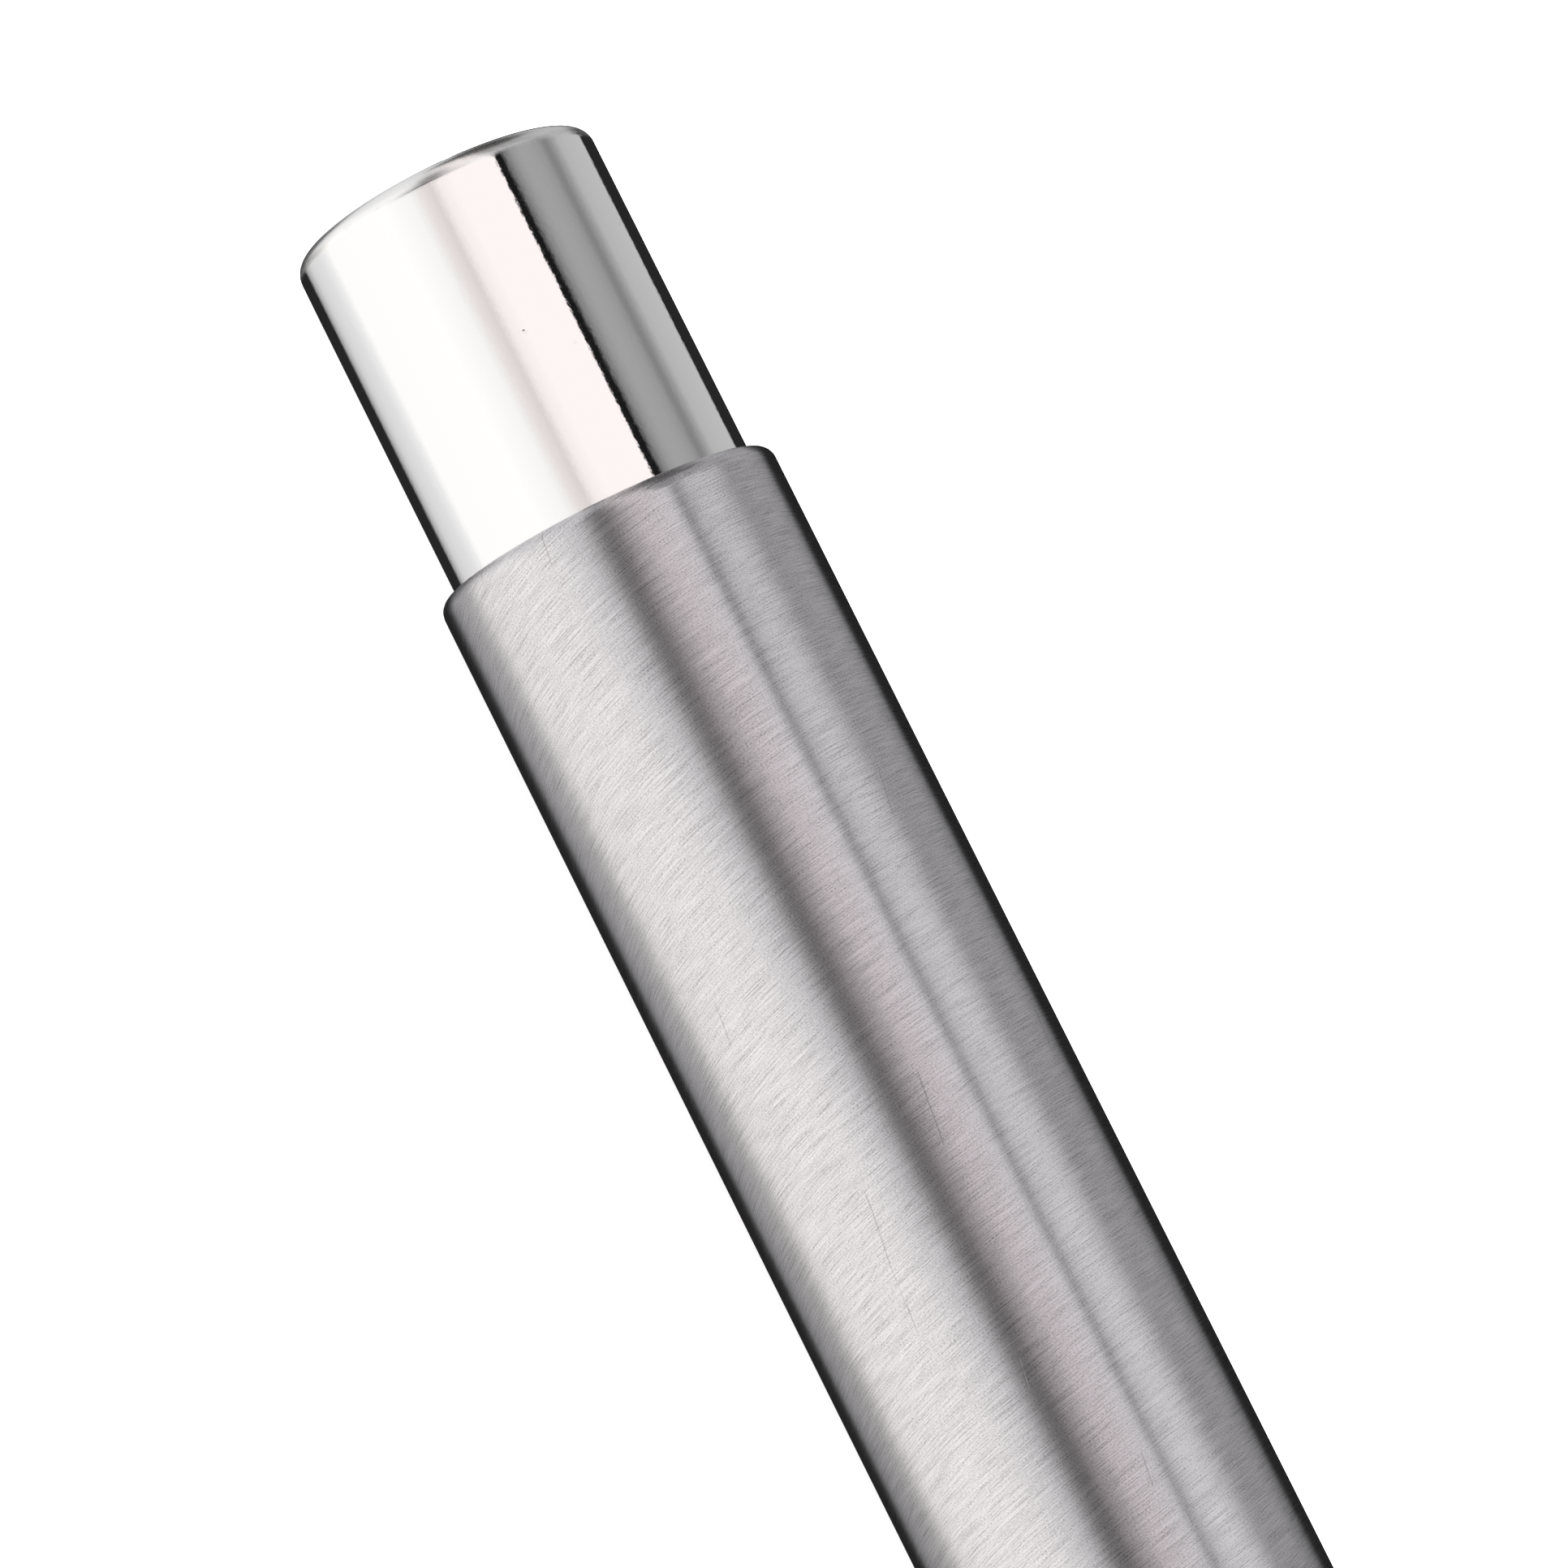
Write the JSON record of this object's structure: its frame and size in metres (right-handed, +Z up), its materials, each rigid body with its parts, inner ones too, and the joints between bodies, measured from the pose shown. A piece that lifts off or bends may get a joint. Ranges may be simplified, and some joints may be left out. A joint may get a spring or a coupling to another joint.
{
  "type": "push-button ballpoint pen",
  "caption": "Slim retractable ballpoint pen with a brushed steel barrel, a polished push button, a pocket clip and a screw-apart middle.",
  "frame": {"origin": "centre of the bounding box on the desk that the pen lies on", "axes": "+X along the pen towards the writing point, +Z up from the desk, +Y to the side that the clip leans on"},
  "size_m": [0.1382, 0.0132, 0.0105],
  "materials": {
    "tube_steel": "brushed round the tube, fine even grain",
    "polished_chrome": "mirror polished, slightly uneven",
    "machined_brass": "turned, not polished",
    "point_nickel": "turned nickel silver",
    "refill_steel": "drawn tube, satin",
    "spring_steel": "drawn wire, bright",
    "carbide": "ground and smooth",
    "white_plastic": "moulded acetal",
    "grey_plastic": "moulded",
    "black_rubber": "smooth moulded",
    "ink": "thick blue ink"
  },
  "bodies": {
    "barrel": {"upper_barrel": "tube_steel", "click_sleeve": "white_plastic", "joint_socket": "machined_brass"},
    "button": {"push_button": "polished_chrome", "button_insert": "grey_plastic", "click_plunger": "white_plastic"},
    "rotor": {"click_rotor": "white_plastic"},
    "refill": {"refill_tube": "refill_steel", "refill_plug": "white_plastic", "refill_point": "point_nickel", "ink_column": "ink"},
    "ball": {"writing_ball": "carbide"},
    "clip": {"clip": "polished_chrome"},
    "ring": {"centre_ring": "polished_chrome"},
    "lower": {"lower_barrel": "tube_steel", "nose_cone": "polished_chrome", "joint_spigot": "machined_brass", "joint_o_ring": "black_rubber", "return_spring": "spring_steel"}
  },
  "joints": [
    {"name": "button_press", "type": "slide", "parent": "barrel", "child": "button", "axis": [1, 0, 0], "range_m": [0, 0.006], "stiffness_N_per_m": 400, "springref_m": -0.0025, "deforming": ["return_spring"]},
    {"name": "rotor_slide", "type": "slide", "parent": "barrel", "child": "rotor", "axis": [1, 0, 0], "range_m": [0, 0.006]},
    {"name": "refill_slide", "type": "slide", "parent": "barrel", "child": "refill", "axis": [1, 0, 0], "range_m": [0, 0.006]},
    {"name": "ball_roll", "type": "hinge", "parent": "refill", "child": "ball", "pos_m": [0.06737, -0.00139, 0.00525], "axis": [0, 1, 0], "continuous": true},
    {"name": "clip_lift", "type": "hinge", "parent": "barrel", "child": "clip", "pos_m": [-0.04657, 0.00312, 0.00308], "axis": [0, 0.4337, 0.9011], "range_deg": [0, 4], "stiffness_Nm_per_rad": 1.5, "springref_deg": -4.01},
    {"name": "joint_travel", "type": "slide", "parent": "barrel", "child": "ring", "axis": [1, 0, 0], "range_m": [0, 0.00525]},
    {"name": "lower_barrel_unscrew", "type": "hinge", "parent": "ring", "child": "lower", "pos_m": [0.00347, -0.00139, 0.00525], "axis": [1, 0, 0], "range_deg": [0, 2520]}
  ],
  "couplings": [
    {"joint": "rotor_slide", "follows": "button_press", "ratio": 1},
    {"joint": "refill_slide", "follows": "button_press", "ratio": 1},
    {"joint": "lower_barrel_unscrew", "follows": "joint_travel", "rad_per_m": 8377.6}
  ]
}
